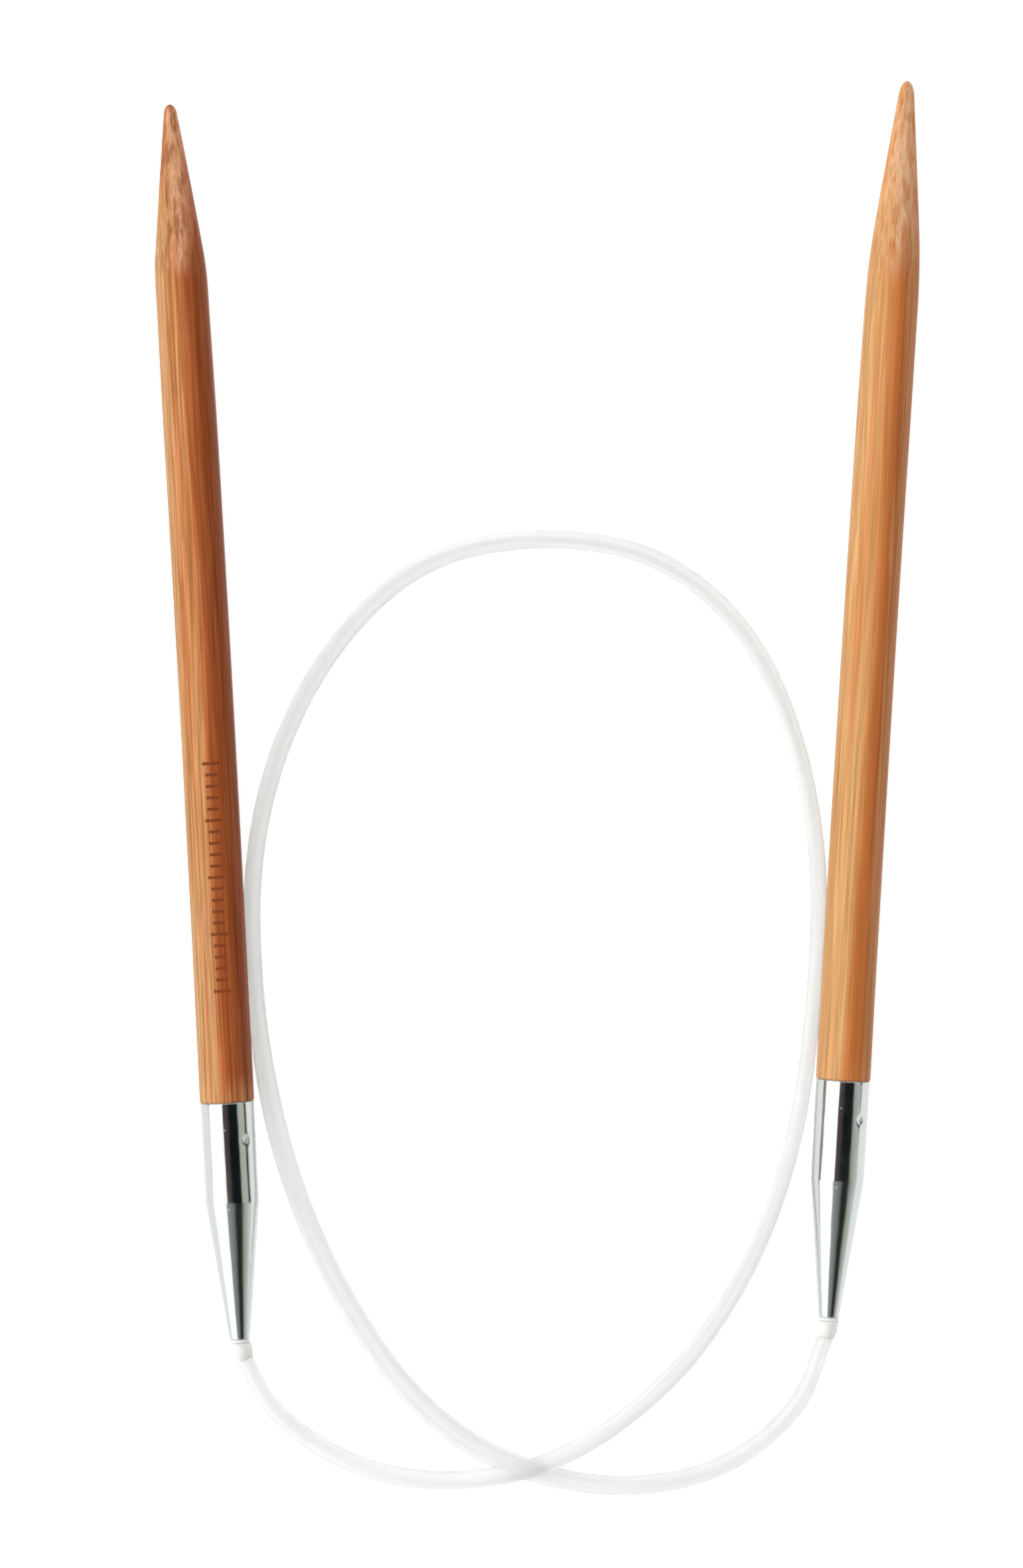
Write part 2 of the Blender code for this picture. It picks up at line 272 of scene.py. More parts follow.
def span(tree, value, low, high, to_low=0.0, to_high=1.0):
    """Maps low..high smoothly to to_low..to_high."""
    made = add(tree, "ShaderNodeMapRange", {0: value, 1: low, 2: high, 3: to_low, 4: to_high})
    made.interpolation_type = "SMOOTHSTEP"
    return made.outputs[0]


def mix(tree, factor, first, second, blend="MIX"):
    """A mix of two colours. Fixed colours are (red, green, blue), linear."""
    values = {0: factor}
    for index, colour in ((6, first), (7, second)):
        values[index] = colour if isinstance(colour, bpy.types.NodeSocket) else (*colour, 1.0)
    return add(tree, "ShaderNodeMix", values, data_type="RGBA", blend_type=blend).outputs[2]


def ramp(tree, value, stops):
    """A colour for a value, by stops of (value, colour) in rising order."""
    made = add(tree, "ShaderNodeValToRGB", {0: value})
    elements = made.color_ramp.elements
    for index, (at, colour) in enumerate(stops):
        element = elements[index] if index < 2 else elements.new(at)
        element.position = at
        element.color = (*colour, 1.0)
    return made.outputs[0]


def stretched(tree, point, scale):
    """A point with each coordinate multiplied by its own scale."""
    return add(tree, "ShaderNodeVectorMath", {0: point, 1: scale}, operation="MULTIPLY").outputs[0]


def noise(tree, point, scale, detail=2.0, roughness=0.5):
    """A cloudy pattern, whose outputs are a value and a colour."""
    values = {"Vector": point, "Scale": scale, "Detail": detail, "Roughness": roughness}
    return add(tree, "ShaderNodeTexNoise", values)


def bump(tree, height, distance, strength):
    """A normal tilted by the slopes of a height."""
    values = {"Height": height, "Distance": distance, "Strength": strength}
    return add(tree, "ShaderNodeBump", values).outputs[0]


def new_look(name):
    """A material with a Principled shader, and its local coordinates in millimetres."""
    look = bpy.data.materials.new(name)
    look.use_nodes = True
    tree = look.node_tree
    shader = tree.nodes["Principled BSDF"]
    place = add(tree, "ShaderNodeTexCoord").outputs["Object"]
    return look, tree, shader, stretched(tree, place, (1000.0, 1000.0, 1000.0))


# ---------------------------------------------------------------------------------------------
# Materials
# ---------------------------------------------------------------------------------------------

# Linear colours of each needle's bamboo by depth of tone, which runs from the needle's left-hand side
# to its right-hand one: pale on the left-hand side and dark on the right-hand one. This is partly the
# wood's own tone and partly painted shade on the side away from the light on the left, and on the right
# needle the lighter last stop is a painted edge light. Where the taper cuts the fibres, the middle is as
# pale as "cut", by "share" and up to "reach" mm from "ridge", and flecks of the colour "fleck" show;
# their noise has the scale "fleck_scale". "bundle" is the colour of the dark bundles, "grain" the
# contrast of the fine fibres, and "worn" how far the lower end is rubbed pale.
BAMBOO = {
    "left": {
        "tones_and_shade": (
            (0.12, (0.463, 0.248, 0.110)), (0.36, (0.470, 0.185, 0.064)), (0.50, (0.475, 0.150, 0.052)),
            (0.62, (0.380, 0.105, 0.035)), (0.75, (0.300, 0.073, 0.017)), (0.90, (0.253, 0.062, 0.017)),
        ),
        "cut": (0.66, 0.36, 0.205), "share": 0.80, "ridge": 0.1, "reach": 1.9,
        "bundle": (0.17, 0.038, 0.011), "fleck": (0.20, 0.047, 0.014), "grain": 1.35,
        "fleck_scale": 0.70, "worn": 0.45,
    },
    "right": {
        "tones_and_shade": (
            (0.10, (0.497, 0.265, 0.108)), (0.25, (0.572, 0.315, 0.127)), (0.38, (0.560, 0.243, 0.086)),
            (0.50, (0.560, 0.225, 0.074)), (0.62, (0.540, 0.183, 0.048)), (0.76, (0.405, 0.114, 0.031)),
            (0.92, (0.443, 0.180, 0.065)),
        # This last stop is lighter than the one before it: a painted edge light on the right-hand edge.
        ),
        "cut": (0.66, 0.43, 0.270), "share": 0.85, "ridge": 0.5, "reach": 2.9,
        "bundle": (0.30, 0.078, 0.016), "fleck": (0.47, 0.165, 0.042), "grain": 0.72,
        "fleck_scale": 1.0, "worn": 0.20,
    },
}

# The rubbed wood's colour, and the millimetres above the ferrule where it starts and where it is full.
RUBBED = (0.52, 0.26, 0.11)
RUB_START = 3.6
RUB_FULL = 0.2

# How much a light or dark fibre changes red, green and blue, in the fine layer and in the finest.
FINE_SHADES = (0.20, 0.30, 0.41)
HAIR_SHADES = (0.13, 0.20, 0.27)


def bamboo_look(side):
    """Heat-darkened bamboo: fibres and bundles that run along the needle through the whole solid, so
    they show as long lines on the shaft, and flecks where the taper cuts across them."""
    spec = BAMBOO[side]
    look, tree, shader, place = new_look(side + "_bamboo")
    drift = noise(tree, stretched(tree, place, (0.10, 0.10, 0.018)), 1.0).outputs["Color"]
    centred = add(tree, "ShaderNodeVectorMath", {0: drift, 1: (0.5, 0.5, 0.5)}, operation="SUBTRACT")
    moved = add(
        tree, "ShaderNodeVectorMath",
        {0: centred.outputs[0], 1: (1.1, 1.1, 0.0), 2: place}, operation="MULTIPLY_ADD",
    ).outputs[0]
    fibres = stretched(tree, moved, (1.0, 1.0, 0.011))
    fine = noise(tree, fibres, 3.6, detail=3.0, roughness=0.7).outputs[0]
    hair = noise(tree, fibres, 9.0, detail=2.0, roughness=0.6).outputs[0]
    band = noise(tree, stretched(tree, moved, (0.60, 0.60, 0.010)), 1.0, detail=2.0).outputs[0]
    cells = add(tree, "ShaderNodeTexVoronoi", {"Vector": fibres, "Scale": 1.9})
    strength = add(tree, "ShaderNodeSeparateXYZ", {0: cells.outputs["Color"]}).outputs[0]
    bundle = calc(tree, "MULTIPLY", span(tree, cells.outputs["Distance"], 0.26, 0.08), strength)

    # Where a surface faces the tip a little, the taper cuts the fibres.
    facing = add(tree, "ShaderNodeTexCoord").outputs["Normal"]
    lengthwise = add(tree, "ShaderNodeSeparateXYZ", {0: facing}).outputs[2]
    cut = span(tree, lengthwise, 0.02, 0.09)

    # How deep the tone is: across the needle, pale on its left-hand side and dark on its right-hand one,
    # which is partly painted shade, then by broad bands and by fine fibres.
    axes = add(tree, "ShaderNodeSeparateXYZ", {0: place})
    across = axes.outputs[0]
    tone_and_shade = calc(tree, "MULTIPLY_ADD", across, MM / 2 / shaft_radius(), 0.5)
    for layer, amount in ((band, 0.85), (fine, 0.45), (hair, 0.20)):
        tone_and_shade = calc(tree, "ADD", tone_and_shade, calc(tree, "MULTIPLY_ADD", layer, amount, -amount / 2))
    base = ramp(tree, tone_and_shade, spec["tones_and_shade"])

    # The pale cut wood of the taper's ridge, mottled, then its flecks and the dark bundles.
    away = calc(tree, "ABSOLUTE", calc(tree, "SUBTRACT", across, spec["ridge"]))
    ridge = calc(tree, "MULTIPLY", span(tree, away, spec["reach"], 0.0), cut)
    patches = stretched(tree, place, (1.5, 1.5, 0.24))
    mottle = noise(tree, patches, 1.0, detail=3.0, roughness=0.6).outputs[0]
    paled = calc(tree, "MULTIPLY", span(tree, mottle, 0.38, 0.56, 0.45, 1.0), ridge)
    base = mix(tree, calc(tree, "MULTIPLY", paled, spec["share"]), base, spec["cut"])
    flecks = stretched(tree, place, (-1.9, 1.9, 0.26))
    fleck = noise(tree, flecks, spec["fleck_scale"], detail=3.0, roughness=0.65).outputs[0]
    ends = calc(tree, "MULTIPLY", span(tree, fleck, 0.47, 0.62, 0.0, 0.85), cut)
    dark = calc(tree, "MULTIPLY", bundle, span(tree, cut, 0.0, 1.0, 0.60, 0.75))
    base = mix(tree, ends, base, mix(tree, 0.30, spec["fleck"], base))
    base = mix(tree, dark, base, spec["bundle"])

    # Pale, rubbed wood at the lower end, next to the ferrule.
    end = FERRULE_LENGTH / MM
    low_end = span(tree, axes.outputs[2], end + RUB_START, end + RUB_FULL)
    rubbed = calc(tree, "MULTIPLY", low_end, spec["worn"])
    base = mix(tree, calc(tree, "MULTIPLY", rubbed, span(tree, fine, 0.30, 0.60)), base, RUBBED)

    # Light and dark fibres, weaker where they are cut.
    grain = span(tree, cut, 0.0, 1.0, spec["grain"], 0.60 * spec["grain"])
    for layer, amounts in ((fine, FINE_SHADES), (hair, HAIR_SHADES)):
        wave = calc(tree, "MULTIPLY", grain, span(tree, layer, 0.32, 0.68, -1.0, 1.0))
        shades = [calc(tree, "MULTIPLY_ADD", wave, amount, 1 - 0.20 * amount) for amount in amounts]
        tint = add(tree, "ShaderNodeCombineColor", dict(enumerate(shades))).outputs[0]
        base = mix(tree, 1.0, base, tint, "MULTIPLY")
    relief = calc(tree, "MULTIPLY_ADD", hair, 0.5, fine)
    fill(tree, shader, {
        "Base Color": base,
        "Roughness": span(tree, fine, 0.3, 0.7, 0.38, 0.50),
        "Normal": bump(tree, relief, 0.00002, 0.4),
        "Specular IOR Level": 0.10,
    })
    return look


def burnt_look():
    """The floor and walls of the branded ticks: wood scorched by a hot die."""
    look, tree, shader, place = new_look("scorched_bamboo")
    soot = noise(tree, stretched(tree, place, (2.0, 2.0, 2.0)), 2.0, detail=3.0).outputs[0]
    fill(tree, shader, {
        "Base Color": mix(tree, soot, (0.165, 0.040, 0.012), (0.25, 0.066, 0.020)),
        "Roughness": span(tree, soot, 0.3, 0.7, 0.55, 0.75),
        "Specular IOR Level": 0.08,
        "Normal": bump(tree, soot, 0.00001, 0.5),
    })
    return look


def chrome_look():
    """Bright plating over turned metal, with faint lathe lines, a soft waviness and specks of dust."""
    look, tree, shader, place = new_look("plated_chrome")
    lathe_lines = noise(tree, stretched(tree, place, (0.4, 0.4, 9.0)), 1.0, detail=3.0).outputs[0]
    cloud = noise(tree, place, 0.55, detail=3.0).outputs[0]
    wave = noise(tree, stretched(tree, place, (1.0, 1.0, 0.25)), 0.9, detail=1.0).outputs[0]
    specks = add(tree, "ShaderNodeTexVoronoi", {"Vector": place, "Scale": 0.9})
    chosen = add(tree, "ShaderNodeSeparateXYZ", {0: specks.outputs["Color"]}).outputs[0]
    dust = span(tree, specks.outputs["Distance"], 0.10, 0.06)
    dust = calc(tree, "MULTIPLY", dust, calc(tree, "GREATER_THAN", chosen, 0.72))
    height = calc(tree, "MULTIPLY_ADD", lathe_lines, 0.03, wave)
    plating = mix(tree, cloud, (0.53, 0.555, 0.55), (0.57, 0.59, 0.58))
    fill(tree, shader, {
        "Base Color": mix(tree, dust, plating, (0.50, 0.50, 0.48)),
        "Metallic": calc(tree, "SUBTRACT", 1.0, dust),
        "Roughness": span(tree, cloud, 0.3, 0.7, 0.04, 0.10),
        "Normal": bump(tree, height, 0.00005, 0.45),
    })
    return look


def nylon_look():
    """Milky nylon line: light scatters in it and passes through, and faint draw lines run along it."""
    look, tree, shader, _ = new_look("milky_nylon")
    along = add(tree, "ShaderNodeUVMap", uv_map="Cord").outputs[0]
    streak = noise(tree, stretched(tree, along, (9.0, 25.0, 1.0)), 1.0, detail=2.0).outputs[0]
    lines = span(tree, streak, 0.35, 0.65)
    cloud = noise(tree, stretched(tree, along, (2.0, 60.0, 1.0)), 1.0, detail=2.0).outputs[0]
    fill(tree, shader, {
        "Base Color": mix(tree, lines, (0.747, 0.755, 0.747), (0.856, 0.861, 0.849)),
        "Roughness": span(tree, cloud, 0.3, 0.7, 0.42, 0.50),
        "IOR": 1.10,
        "Transmission Weight": 0.76,
        "Subsurface Weight": 1.0,
        "Subsurface Radius": (1.0, 1.0, 1.0),
        "Subsurface Scale": 0.0012,
        "Coat Weight": 0.12,
        "Coat Roughness": 0.25,
        "Normal": bump(tree, streak, 0.00002, 0.2),
    })
    return look


def clear_look(name, alpha):
    """Clear moulded plastic, slightly clouded and lightly rubbed."""
    look, tree, shader, place = new_look(name)
    cloud = noise(tree, place, 1.4, detail=3.0).outputs[0]
    fill(tree, shader, {
        "Base Color": mix(tree, cloud, (0.81, 0.81, 0.78), (0.87, 0.87, 0.85)),
        "Roughness": span(tree, cloud, 0.3, 0.7, 0.30, 0.42),
        "IOR": 1.45,
        "Alpha": alpha,
        "Subsurface Weight": 1.0,
        "Subsurface Radius": (1.0, 1.0, 1.0),
        "Subsurface Scale": 0.0006,
        "Normal": bump(tree, cloud, 0.00002, 0.3),
    })
    return look


def brass_look():
    """Plain crimped tube, dulled by handling."""
    look, tree, shader, place = new_look("crimped_brass")
    tarnish = noise(tree, stretched(tree, place, (1.0, 1.0, 2.0)), 1.2, detail=4.0).outputs[0]
    fill(tree, shader, {
        "Base Color": mix(tree, tarnish, (0.70, 0.47, 0.18), (0.48, 0.31, 0.13)),
        "Metallic": 1.0,
        "Roughness": span(tree, tarnish, 0.3, 0.7, 0.24, 0.42),
        "Normal": bump(tree, tarnish, 0.00002, 0.4),
    })
    return look


def floor_look():
    """White sweep with a hint of paper tooth, lit from below as well, like a light table."""
    look, tree, shader, place = new_look("white_sweep")
    tooth = noise(tree, place, 0.8, detail=3.0).outputs[0]
    fill(tree, shader, {
        "Base Color": mix(tree, tooth, (0.34, 0.345, 0.34), (0.36, 0.365, 0.36)),
        "Roughness": 0.9,
        "Specular IOR Level": 0.1,
        "Emission Color": (1.0, 1.0, 1.0, 1.0),
        "Emission Strength": 0.86,
    })
    return look


# ---------------------------------------------------------------------------------------------
# Shape helpers
# ---------------------------------------------------------------------------------------------

def lathe(name, outline, look, sides=TURN_SIDES, wobble=None):
    """A solid of revolution about local z. The outline runs (radius, z) down the outside; it starts
    and ends on the axis, or it is a closed ring on a hollow piece. wobble(radius, angle, z) may
    change the radius at each point."""
    hollow = outline[0][0] > 0
    shape = bmesh.new()
    rings = []
    for radius, z in outline:
        if radius == 0:
            rings.append([shape.verts.new((0, 0, z))] * sides)
            continue
        ring = []
        for i in range(sides):
            angle = 2 * math.pi * i / sides
            reach = wobble(radius, angle, z) if wobble else radius
            ring.append(shape.verts.new((reach * math.cos(angle), reach * math.sin(angle), z)))
        rings.append(ring)
    pairs = list(zip(rings, rings[1:]))
    if hollow:
        pairs.append((rings[-1], rings[0]))
    for upper, lower in pairs:
        for i in range(sides):
            j = (i + 1) % sides
            corners = [upper[j], upper[i], lower[i], lower[j]]
            shape.faces.new(list(dict.fromkeys(corners)))
    return finished(name, shape, look)


def smooth(mesh):
    """Shades a mesh smooth, apart from its sharp edges."""
    mesh.shade_smooth()
    mesh.set_sharp_from_angle(angle=SHARP)


def finished(name, shape, look):
    """Turns a bmesh into a smooth-shaded object of that look."""
    bmesh.ops.recalc_face_normals(shape, faces=shape.faces)
    mesh = bpy.data.meshes.new(name)
    shape.to_mesh(mesh)
    shape.free()
    mesh.materials.append(look)
    smooth(mesh)
    piece = bpy.data.objects.new(name, mesh)
    bpy.context.scene.collection.objects.link(piece)
    return piece


def arc(centre, radius, start, end, steps):
    """Points (radius, z) along an arc, from one angle to another in degrees, 90 being up."""
    made = []
    for i in range(steps + 1):
        angle = math.radians(start + (end - start) * i / steps)
        made.append((centre[0] + radius * math.cos(angle), centre[1] + radius * math.sin(angle)))
    return made


def settle(piece, matrix, body, slot, *replaced):
    """Puts a piece in its place, hands it to its CAD body and hides the CAD parts that it replaces."""
    piece.matrix_world = matrix
    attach(piece, body)
    if replaced:
        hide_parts(*replaced)


def turned_at(place, along):
    """From local coordinates at a place, with z along a level direction and y down, to the frame's."""
    right = along.cross(UP).normalized()
    turned = Matrix((right, along.cross(right), along)).transposed().to_4x4()
    return Matrix.Translation(place) @ turned


def needle_axis(side):
    """Unit vector from a needle's mouth to its tip, which is the swivel joint's axis."""
    return Vector(JOINTS[side + "_swivel"]["axis"]).normalized()


def needle_matrix(side):
    """From a needle's local coordinates to the row frame."""
    return turned_at(JOINTS[side + "_swivel"]["pos_m"], needle_axis(side))


def flex_pivot(side):
    """Where the joint stands that bends a side's half of the cord."""
    return Vector(JOINTS[side + "_cord_flex"]["pos_m"])


def cord_way(side, tilt):
    """Unit vector along which the cord leaves a needle, bent inwards from its axis by the tilt."""
    return Matrix.Rotation(-OUTWARDS[side] * tilt, 3, "Z") @ -needle_axis(side)


# ---------------------------------------------------------------------------------------------
# The needles
# ---------------------------------------------------------------------------------------------

def needle_length(side):
    """Distance from the ferrule's mouth to the needle's tip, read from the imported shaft."""
    to_local = needle_matrix(side).inverted()
    shaft = frame["nodes"][side + "_needle_shaft"].data
    return max((to_local @ vertex.co).z for vertex in shaft.vertices)


def shaft_radius():
    """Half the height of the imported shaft, which lies on the table."""
    low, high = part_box("left_needle_shaft")
    return (high.z - low.z) / 2


def shaft_outline(side):
    """From the rounded tip down the taper and the shaft to the foot of the spigot."""
    spec, full = TIPS[side], shaft_radius()
    top = needle_length(side) + spec["past"]
    centre = top - spec["height"]
    outline = [(0.0, top)]
    slope, blend = math.tan(spec["taper"]), spec["blend"]
    for i in range(1, CAP_STEPS + 1):
        angle = math.atan2(spec["end"], spec["height"] * slope) * i / CAP_STEPS
        outline.append((spec["end"] * math.sin(angle), centre + spec["height"] * math.cos(angle)))
    edge_r, edge_z = outline[-1]
    full_z = edge_z - (full - edge_r) / slope
    blend_top = full_z + blend / 2
    blend_r = full - slope * blend / 2
    for i in range(1, TAPER_STEPS):
        along = i / TAPER_STEPS
        outline.append((edge_r + (blend_r - edge_r) * along, edge_z + (blend_top - edge_z) * along))
    for i in range(BLEND_STEPS + 1):
        along = i / BLEND_STEPS
        outline.append((full - slope * blend * (1 - along) ** 2 / 2, blend_top - blend * along))
    shoulder = FERRULE_LENGTH + JOINT_GAP
    low = outline[-1][1]
    for i in range(1, STRAIGHT_STEPS):
        outline.append((full, low + (shoulder + EDGE_ROUND - low) * i / STRAIGHT_STEPS))
    outline += arc((full - EDGE_ROUND, shoulder + EDGE_ROUND), EDGE_ROUND, 0, -90, 4)
    foot = FERRULE_LENGTH - SPIGOT_LENGTH
    outline += [(SPIGOT_R, shoulder), (SPIGOT_R, foot + EDGE_ROUND)]
    outline += [(SPIGOT_R - EDGE_ROUND, foot), (0.0, foot)]
    return outline


def hand_finish(side):
    """How a shaft's radius changes by sanding. It is very slightly out of round, and a little thinner
    below the taper. Nothing is added to it."""
    spec = TIPS[side]
    phase = spec["phase"]
    start = FERRULE_LENGTH + SAND_FROM
    taper = (shaft_radius() - spec["end"]) / math.tan(spec["taper"])
    waist = needle_length(side) - taper - WAIST_BELOW

    def wobble(radius, angle, z):
        if z < start:
            return radius
        swell = SWELL * (math.sin(z / SWELL_LENGTH + phase) - 1)
        flat = FLAT_DEPTH * (math.cos(FLATS * angle + z / FLAT_LENGTH + phase) - 1)
        sanded = spec["sanded"] * math.exp(-((z - waist) / WAIST_LENGTH) ** 2)
        grown = min(1.0, (z - start) / SAND_FADE) * min(1.0, radius / THIN_R)
        return radius + (swell + flat - sanded) * grown
    return wobble


def bow(shaft, side):
    """Bows a shaft sideways from its ferrule up, outwards at the tip."""
    length = needle_length(side) - FERRULE_LENGTH
    for vertex in shaft.data.vertices:
        gone = max(0.0, (vertex.co.z - FERRULE_LENGTH) / length)
        vertex.co.x += OUTWARDS[side] * (BOW_OUT * gone * gone - BOW_IN * gone)


def tick_cutter(z, spread, look):
    """A slice of a tube round the shaft, over an angle on the needle's top, that sinks in by a tick's
    depth and stands well clear outside."""
    inner = shaft_radius() - TICK_DEPTH
    outer = shaft_radius() + 4 * TICK_DEPTH
    low, high = z - TICK_WIDTH / 2, z + TICK_WIDTH / 2
    shape = bmesh.new()
    rows = []
    for i in range(TICK_STEPS + 1):
        angle = -math.pi / 2 + TICK_TURN + spread * (i / TICK_STEPS - 0.5)
        row = []
        for radius, at in ((inner, low), (inner, high), (outer, high), (outer, low)):
            row.append(shape.verts.new((radius * math.cos(angle), radius * math.sin(angle), at)))
        rows.append(row)
    for here, there in zip(rows, rows[1:]):
        for i in range(4):
            shape.faces.new((here[i], here[(i + 1) % 4], there[(i + 1) % 4], there[i]))
    shape.faces.new(rows[0])
    shape.faces.new(rows[-1])
    return finished("tick_cutter", shape, look)


def brand_ticks(shaft, look):
    """Cuts the row of ticks into a shaft. Their floors and walls take the cutter's look."""
    cutters = []
    for i in range(TICK_COUNT):
        spread = TICK_SHORT if i % TICK_LONG_EVERY else TICK_LONG
        cutters.append(tick_cutter(TICK_FIRST + i * TICK_PITCH, spread, look))

    # All in one cut, after which the mesh is read back and the modifier goes.
    cutter = cutters[0]
    with bpy.context.temp_override(active_object=cutter, selected_editable_objects=cutters):
        bpy.ops.object.join()
    cutter.matrix_world = shaft.matrix_world
    cut = shaft.modifiers.new("Ticks", "BOOLEAN")
    cut.operation = "DIFFERENCE"
    cut.solver = "EXACT"
    cut.material_mode = "TRANSFER"
    cut.object = cutter
    bpy.context.view_layer.update()
    solid = shaft.evaluated_get(bpy.context.evaluated_depsgraph_get())
    mesh = bpy.data.meshes.new_from_object(solid)
    smooth(mesh)
    shaft.modifiers.clear()
    shaft.data = mesh
    bpy.data.objects.remove(cutter)


def ferrule_outline():
    """Down the cylinder and the cone, then up through the bore, the chamber and the socket."""
    top, edge = FERRULE_LENGTH, EDGE_ROUND
    outline = arc((FERRULE_R - edge, top - edge), edge, 90, 0, 5)
    for i in range(1, STRAIGHT_STEPS):
        outline.append((FERRULE_R, top - edge + (CONE_LENGTH - top + edge) * i / STRAIGHT_STEPS))
    outline.append((FERRULE_R, CONE_LENGTH + CREASE))
    for i in range(CONE_STEPS + 1):
        along = i / CONE_STEPS
        radius = FERRULE_R + (MOUTH_R - FERRULE_R) * along
        outline.append((radius - CREASE_DEPTH, (CONE_LENGTH - CREASE) * (1 - along) + edge * along))
    outline += arc((MOUTH_R - edge, edge), edge, 0, -90, 4)[1:]
    outline += [
        (BORE_R, 0.0), (BORE_R, CHAMBER_START), (CHAMBER_R, CHAMBER_START),
        (CHAMBER_R, top - SOCKET_DEPTH), (SOCKET_R, top - SOCKET_DEPTH), (SOCKET_R, top - edge),
        (SOCKET_R + edge, top),
    ]
    return outline


def stake_mark(radius, angle, z):
    """The small round dent that stakes the ferrule to the bamboo. Its inner walls stay as they are."""
    if radius < FERRULE_R - STAKE_WALL:
        return radius
    turn = (angle - (STAKE_ANGLE - math.pi / 2) + math.pi) % (2 * math.pi) - math.pi
    away = math.hypot(turn * radius, z - STAKE_Z) / STAKE_WIDTH
    return radius - STAKE_DEPTH * math.exp(-away * away)


def make_needle(side, looks):
    """A needle's shaft, ferrule and bush."""
    place = needle_matrix(side)
    body = side + "_needle"
    shaft = lathe(side + "_bamboo_shaft", shaft_outline(side), looks[side], wobble=hand_finish(side))
    settle(shaft, place, body, "bamboo", side + "_needle_shaft")
    if side == "left":
        brand_ticks(shaft, looks["burnt"])
    bow(shaft, side)
    ferrule = lathe(side + "_plated_ferrule", ferrule_outline(), looks["chrome"], wobble=stake_mark)
    settle(ferrule, place, body, "chrome", side + "_ferrule")
    bush = lathe(side + "_clear_bush", bush_outline(), looks["bush"], sides=SMALL_SIDES)
    settle(bush, place, body, "clear_plastic", side + "_mouth_bush")


# ---------------------------------------------------------------------------------------------
# The cord and what is on it
# ---------------------------------------------------------------------------------------------

def bush_outline():
    """A thin sleeve in the mouth's bore, with a rounded rim outside the mouth."""
    hole = NECK_R + CLEARANCE
    edge = 0.6 * CLEARANCE
    outline = [(hole, BUSH_DEPTH), (BUSH_R, BUSH_DEPTH), (BUSH_R, -CLEARANCE / 2)]
    outline += arc((BUSH_RIM_R - edge, -CLEARANCE / 2 - edge), edge, 90, 0, 3)
    outline += arc((BUSH_RIM_R - edge, -BUSH_RIM + edge), edge, 0, -90, 3)
    outline.append((hole, -BUSH_RIM))
    return outline


def collar_outline():
    """The clear collar round the cord's neck: a short cylinder that chamfers towards the cord."""
    hole = NECK_R + COLLAR_FIT
    outline = [(hole, 0.0)]
    outline += arc((COLLAR_R - EDGE_ROUND, -EDGE_ROUND), EDGE_ROUND, 90, 0, 5)
    outline += [(COLLAR_R, -COLLAR_LENGTH / 2), (COLLAR_R - COLLAR_FIT, -COLLAR_LENGTH * 0.55)]
    outline.append((COLLAR_BEVEL_R, -COLLAR_LENGTH + COLLAR_BEVEL))
    outline += [(COLLAR_FOOT_R, -COLLAR_LENGTH), (hole, -COLLAR_LENGTH)]
    return outline


def cord_exit(side):
    """Where the bush's rim, the collar's top and the collar's foot are, from the mouth outwards."""
    rim = needle_matrix(side) @ Vector((0, 0, -BUSH_RIM))
    way = cord_way(side, COLLAR_TILT[side])
    top = rim + way * COLLAR_OFFSET
    return rim, top, top + way * COLLAR_LENGTH


def smooth_curve(points):
    """A natural cubic spline through the points. Returns closely spaced points along it."""
    knots = np.array(points, float)
    steps = np.linalg.norm(np.diff(knots, axis=0), axis=1)
    count = len(knots)
    system, wanted = np.eye(count), np.zeros((count, 3))
    for i in range(1, count - 1):
        before, after = steps[i - 1], steps[i]
        system[i, i - 1:i + 2] = before, 2 * (before + after), after
        wanted[i] = 6 * ((knots[i + 1] - knots[i]) / after - (knots[i] - knots[i - 1]) / before)
    bend = np.linalg.solve(system, wanted)
    dense = []
    for i, step in enumerate(steps):
        for t in np.linspace(0, step, CURVE_STEPS, endpoint=False):
            left, right = step - t, t
            dense.append(
                (bend[i] * left ** 3 + bend[i + 1] * right ** 3) / (6 * step)
                + (knots[i] / step - bend[i] * step / 6) * left
                + (knots[i + 1] / step - bend[i + 1] * step / 6) * right
            )
    dense.append(knots[-1])
    return np.array(dense)


def along_line(points):
    """Distance gone at each point of a line."""
    return np.concatenate([[0.0], np.cumsum(np.linalg.norm(np.diff(points, axis=0), axis=1))])


def cord_line():
    """The cord's whole centreline from one collar to the other, in even steps, and its width and
    height at each point. The height keeps the section's area."""
    left, right = (cord_exit(side)[2] + cord_way(side, COLLAR_TILT[side]) * CORD_GAP for side in SIDES)
    route = [Vector(point) for point in CORD_POINTS]
    knots = [left, flex_pivot("left"), *route, flex_pivot("right"), right]
    dense = smooth_curve(knots)
    gone = along_line(dense)
    places = np.linspace(0, gone[-1], round(gone[-1] / CORD_STEP) + 1)
    line = np.array([[np.interp(at, gone, dense[:, k]) for k in range(3)] for at in places])
    share = places / gone[-1]
    widths = smooth_values(share, [s for s, _ in CORD_WIDTHS], [w * MM for _, w in CORD_WIDTHS])
    heights = CORD_DIAMETER ** 2 / widths
    rest = CORD_DIAMETER / 2 + TABLE_GAP
    lying = np.clip((LIFTED - line[:, 2]) / (LIFTED - rest), 0, 1)
    line[:, 2] += lying * (heights / 2 - CORD_DIAMETER / 2)
    return line, widths, heights


def smooth_values(at, known, values):
    """Values between the known ones, easing in and out of each."""
    known = np.array(known)
    index = np.clip(np.searchsorted(known, at, side="right") - 1, 0, len(known) - 2)
    along = (at - known[index]) / (known[index + 1] - known[index])
    ease = along * along * (3 - 2 * along)
    values = np.array(values)
    return values[index] * (1 - ease) + values[index + 1] * ease


